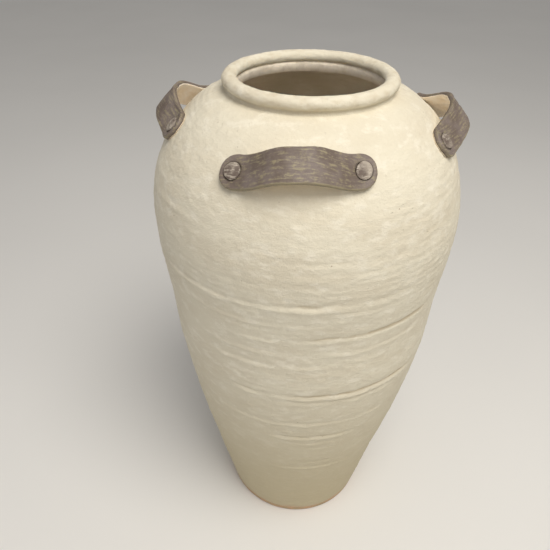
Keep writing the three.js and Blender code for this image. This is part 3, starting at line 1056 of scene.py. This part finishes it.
class AMPHORA_OT_base_slab(bpy.types.Operator):
    """Make the disc of clay that closes the bottom"""

    bl_idname = "amphora.base_slab"
    bl_label = "Base slab"

    def execute(self, context):
        azimuth = round_steps()
        rows, relief = [], []
        for share in UNDERSIDE_RINGS:
            turned = 1 + np.cos(share * UNDERSIDE_SPIRAL_TURN + azimuth)
            lifted = UNDERSIDE_HOLLOW * (1 - share) + UNDERSIDE_SPIRAL * turned
            rows.append(round_jar(azimuth, share * UNDERSIDE_RADIUS, lifted))
            relief.append(0)
        for distance in np.linspace(0.6, WALL.distance_at(SLAB_THICKNESS), 6):
            tuck = FOOT_TUCK * (1 - min(distance / FOOT_TUCK_HEIGHT, 1)) ** 2
            radius, height = WALL.point(distance, tuck - wall_relief(azimuth, distance))
            rows.append(round_jar(azimuth, radius, np.maximum(height, 0)))
            relief.append(hand_marks(azimuth, distance))
        inner_from = len(rows) - 1
        for share in np.linspace(0.97, 0.03, 40):
            spiral = FLOOR_SPIRAL * np.sin(share * FLOOR_SPIRAL_TURN + azimuth)
            height = SLAB_THICKNESS - FLOOR_DROP + spiral * smoothstep(-share, -0.9, -0.8)
            rows.append(round_jar(azimuth, share * FLOOR_RADIUS, height))
            relief.append(0)
        materials = [finish("bare_fired_earthenware"), finish("washed_raw_earthenware")]
        piece = turned_piece("base_slab_clay", rows, relief, materials, inner_from, True)
        stand_in(piece, "base_slab")
        return {"FINISHED"}


class AMPHORA_OT_wall_sections(bpy.types.Operator):
    """Make the five thrown sections of the wall, each keyed into the next"""

    bl_idname = "amphora.wall_sections"
    bl_label = "Wall sections"

    def execute(self, context):
        nodes = ["foot_section", "lower_wall_section", "belly_section"]
        nodes += ["upper_wall_section", "shoulder_section"]
        materials = [finish("brushed_cream_slip"), finish("washed_raw_earthenware")]
        ends = [SLAB_THICKNESS, *JOINTS, WALL.line[-1, 1]]
        for i, node in enumerate(nodes):
            bottom = WALL.distance_at(ends[i]) + (SEAM_FACE if i else SEAM)
            top = WALL.distance_at(ends[i + 1])
            bottom_edge = keyed_edge(WALL.distance_at(ends[i]), SEAM) if i else []
            top_edge = keyed_edge(top, 0) if i < len(nodes) - 1 else []
            piece = section_piece(f"{node}_clay", bottom, top, bottom_edge, top_edge, materials)
            stand_in(piece, node)
        return {"FINISHED"}


# A ring of a turned outline: its radius and height, how much of the ragged edge it takes, and what its
# marks count as, which is lower where the slip is thin.
Ring = namedtuple("Ring", "radius height ragged relief")
CHIP_RING = 7  # the ring of the collar that is chipped
CHIP_HEIGHT = 7  # where the chips are drawn from
CHIP_WIDTH, CHIP_DEPTH = 1.2, 1.0
RIM_ROWS = 44
COIL_RADIUS = 9  # from the coil's middle to its surface, about
RIM_LOW = 0.3  # the coil's middle is this much under its place in the CAD, to leave room for marks
RIM_SHRINK = 0.25
RIM_OFF_CENTRE, RIM_OVAL = 0.09, 0.075


def collar_rings():
    """The collar, from its foot up the outside and down the inside."""
    foot_radius, foot = WALL.point(WALL.length, 0.9, SEAM_FACE)
    inner_radius, inner_foot = WALL.point(WALL.length, WALL_THICKNESS, SEAM)
    top = NECK_TOP - SEAM
    return [
        Ring(foot_radius, foot, 0, -1.1),
        Ring(NECK_OUTER_RADIUS + 1.3, foot + 1.2, 0.2, -1.2),
        Ring(NECK_OUTER_RADIUS + 0.5, foot + 2.5, 0.4, -1.4),
        Ring(NECK_OUTER_RADIUS + 0.2, foot + 3.9, 0.5, -1.6),
        Ring(NECK_OUTER_RADIUS + 0.4, foot + 5.2, 0.4, -1.6),
        Ring(NECK_OUTER_RADIUS + 0.9, top, 0.2, -1.6),
        Ring(NECK_INNER_RADIUS + 3, top, 0, -1.4),
        Ring(NECK_INNER_RADIUS + 1.4, NECK_TOP - 1.4, 0.8, -4.2),
        Ring(NECK_INNER_RADIUS + 0.3, NECK_TOP - 2.6, 0.8, -3),
        Ring(NECK_INNER_RADIUS, NECK_TOP - 5, 0.5, -1.6),
        Ring(NECK_INNER_RADIUS + 0.2, NECK_TOP - 8, 0.5, -1.4),
        Ring(NECK_INNER_RADIUS + 1.2, inner_foot + 2, 0.5, -1.4),
        Ring(NECK_INNER_RADIUS + 2.4, inner_foot + 0.6, 0.4, -2),
        Ring(inner_radius, inner_foot, 0, -2),
    ]


class AMPHORA_OT_neck_and_rim(bpy.types.Operator):
    """Make the neck collar and the rolled rim"""

    bl_idname = "amphora.neck_and_rim"
    bl_label = "Neck and rim"

    def collar(self):
        azimuth = round_steps()
        ragged = layered(azimuth, 0, NECK_RAGGED)
        chips = smoothstep(layered(azimuth, CHIP_HEIGHT, CHIP_SHAPES), 0.2, 0.8)
        rings = collar_rings()
        rows = [round_jar(azimuth, ring.radius - ring.ragged * ragged, ring.height) for ring in rings]
        chipped = rings[CHIP_RING]
        rows[CHIP_RING] = round_jar(
            azimuth, chipped.radius + CHIP_WIDTH * chips, chipped.height - CHIP_DEPTH * chips
        )
        relief = [ring.relief for ring in rings]
        materials = [finish("brushed_cream_slip"), finish("umber_wiped_earthenware")]
        piece = turned_piece("neck_collar_clay", rows, relief, materials, CHIP_RING - 1)
        stand_in(piece, "neck_collar")

    def rim(self):
        azimuth = round_steps()
        middle = RIM_TOP - RIM_HALF_HEIGHT - RIM_LOW
        seat = math.asin((NECK_TOP + SEAM - middle) / RIM_HALF_HEIGHT)
        thrown = RIM_OFF_CENTRE * np.cos(azimuth + 0.8) + RIM_OVAL * np.cos(2 * azimuth)
        rows, relief = [], []
        for turn in np.linspace(seat, math.pi - seat, RIM_ROWS):
            uneven = layered(azimuth, turn * COIL_RADIUS, RIM_UNEVEN)
            swell = uneven - RIM_SHRINK
            radius = RIM_MIDDLE_RADIUS + thrown + (RIM_HALF_WIDTH + swell) * math.cos(turn)
            height = middle + (RIM_HALF_HEIGHT + swell) * math.sin(turn)
            rows.append(round_jar(azimuth, radius, np.clip(height, NECK_TOP + SEAM, RIM_TOP)))
            relief.append(-1.5 + 1.2 * uneven)
        piece = turned_piece("rim_coil_clay", rows, relief, [finish("brushed_cream_slip")])
        stand_in(piece, "rim_coil")

    def execute(self, context):
        self.collar()
        self.rim()
        return {"FINISHED"}


STRAP_SEED, RIVET_SEED = 200, 300


class AMPHORA_OT_strap_handles(bpy.types.Operator):
    """Make the four clay straps, bent onto the shoulder"""

    bl_idname = "amphora.strap_handles"
    bl_label = "Strap handles"

    def execute(self, context):
        materials = [finish("bronzed_umber_stain"), finish("bare_peach_clay")]
        for i, place in enumerate(HANDLES):
            piece = strap_piece(f"strap_{place}_clay", place, STRAP_SEED + 10 * i, materials)
            stand_in(piece, f"handle_strap_{place}")
        return {"FINISHED"}


class AMPHORA_OT_rivets(bpy.types.Operator):
    """Make the round pellets that are pressed into the ends of the straps"""

    bl_idname = "amphora.rivets"
    bl_label = "Rivets"

    def execute(self, context):
        seed = RIVET_SEED
        materials = [finish("rubbed_umber_stain")]
        for place in HANDLES:
            for side, end in ((-1, "left"), (1, "right")):
                seed += 3
                piece = rivet_piece(f"pellet_{place}_{end}", place, side, seed, materials)
                stand_in(piece, f"rivet_{place}_{end}")
        return {"FINISHED"}


# A lamp's place and width in metres, its colour, and how widely it throws its light in degrees.
Lamp = namedtuple("Lamp", "place width colour spread", defaults=[180])
LAMPS = {
    "key": Lamp((0.7, -1.0, 2.85), 1.6, "fffaf2"),
    "fill": Lamp((-1.9, -1.5, 1.6), 1.6, "f2f2ff"),
    "front": Lamp((0.5, -1.5, 1.9), 0.9, "fffaf2"),
    "mouth": Lamp((0, 0, 1.6), 0.06, "fffaf2", 5),
}
LAMPS_AIM = Vector((0, 0, 0.5))
FLOOR_HALF = 12000
FLOOR_CLOUD = Pattern(900, 2, 0.5)
ROOM_COLOUR = "f4f1ee"


class AMPHORA_OT_stage(bpy.types.Operator):
    """Set the floor, the lights and the camera"""

    bl_idname = "amphora.stage"
    bl_label = "Stage"

    def floor(self, pale):
        material, tree = blank_material("matt_studio_floor")
        place = add_node(tree, "ShaderNodeTexCoord").outputs["Object"]
        [cloud] = uneven_patterns(tree, place, [FLOOR_CLOUD])
        shade = [0.97 * channel for channel in pale]
        colour = coated(tree, tuple(pale), [Coat(cloud, 0.3, 0.7, 0, 1, shade)])
        inputs = {"Base Color": colour, "Roughness": 0.9, "IOR": 1.45}
        shader = add_node(tree, "ShaderNodeBsdfPrincipled", inputs)
        add_node(tree, "ShaderNodeOutputMaterial", {"Surface": shader})
        near, far = -FLOOR_HALF, FLOOR_HALF
        corners = [(near, near, 0), (far, near, 0), (far, far, 0), (near, far, 0)]
        write_object("studio_floor", corners, [(0, 1, 2, 3)], [material])

    def light(self, name, lamp, power):
        data = bpy.data.lights.new(f"{name}_light", "AREA")
        data.shape = "DISK"
        data.size = lamp.width
        data.energy = power
        data.color = linear(lamp.colour)[:3]
        data.spread = math.radians(lamp.spread)
        lit = bpy.data.objects.new(f"{name}_light", data)
        lit.location = lamp.place
        aim = LAMPS_AIM - Vector(lamp.place)
        lit.rotation_euler = aim.to_track_quat("-Z", "Y").to_euler()
        bpy.context.scene.collection.objects.link(lit)

    def camera(self, stage):
        eye = bpy.data.cameras.new("camera")
        eye.sensor_width = 36
        eye.lens = stage.lens
        eye.clip_start, eye.clip_end = 0.05, 60
        camera = bpy.data.objects.new("camera", eye)
        bearing = stage.camera_bearing
        away = stage.camera_distance
        place = Vector((away * math.sin(bearing), -away * math.cos(bearing), stage.camera_height))
        turn = Matrix.Rotation(stage.camera_pan, 4, "Z")
        tilt = Matrix.Rotation(math.pi / 2 - stage.camera_tilt, 4, "X")
        roll = Matrix.Rotation(stage.camera_roll, 4, "Z")
        camera.matrix_world = Matrix.Translation(place) @ turn @ tilt @ roll
        bpy.context.scene.collection.objects.link(camera)
        bpy.context.scene.camera = camera

    def execute(self, context):
        stage = context.scene.amphora_stage
        self.floor(stage.floor)
        for name, lamp in LAMPS.items():
            self.light(name, lamp, getattr(stage, f"{name}_power"))
        world = bpy.data.worlds.new("studio_room")
        world.use_nodes = True
        sky = world.node_tree.nodes["Background"]
        sky.inputs["Color"].default_value = linear(ROOM_COLOUR)
        sky.inputs["Strength"].default_value = stage.sky
        context.scene.world = world
        context.scene.view_settings.view_transform = "Standard"
        self.camera(stage)
        return {"FINISHED"}


class AMPHORA_PT_sidebar(bpy.types.Panel):
    """The jar's pieces and settings."""

    bl_idname = "AMPHORA_PT_sidebar"
    bl_label = "Earthenware amphora"
    bl_space_type = "VIEW_3D"
    bl_region_type = "UI"
    bl_category = "Amphora"

    def draw(self, context):
        for operator in OPERATORS:
            self.layout.operator(operator.bl_idname)
        for settings in SETTINGS:
            group = getattr(context.scene, settings)
            box = self.layout.box()
            for name in group.__annotations__:
                box.prop(group, name)


OPERATORS = [
    AMPHORA_OT_stage,
    AMPHORA_OT_base_slab,
    AMPHORA_OT_wall_sections,
    AMPHORA_OT_neck_and_rim,
    AMPHORA_OT_strap_handles,
    AMPHORA_OT_rivets,
]
SETTINGS = {
    "amphora_wall": AmphoraWall,
    "amphora_colours": AmphoraColours,
    "amphora_stage": AmphoraStage,
}


def register():
    for group in SETTINGS.values():
        bpy.utils.register_class(group)
    for name, group in SETTINGS.items():
        setattr(bpy.types.Scene, name, PointerProperty(type=group))
    for operator in OPERATORS:
        bpy.utils.register_class(operator)
    bpy.utils.register_class(AMPHORA_PT_sidebar)


def unregister():
    bpy.utils.unregister_class(AMPHORA_PT_sidebar)
    for operator in reversed(OPERATORS):
        bpy.utils.unregister_class(operator)
    for name in SETTINGS:
        delattr(bpy.types.Scene, name)
    for group in reversed(list(SETTINGS.values())):
        bpy.utils.unregister_class(group)


def main():
    register()
    bpy.ops.amphora.stage()
    bpy.ops.amphora.base_slab()
    bpy.ops.amphora.wall_sections()
    bpy.ops.amphora.neck_and_rim()
    bpy.ops.amphora.strap_handles()
    bpy.ops.amphora.rivets()


if __name__ == "__main__":
    main()
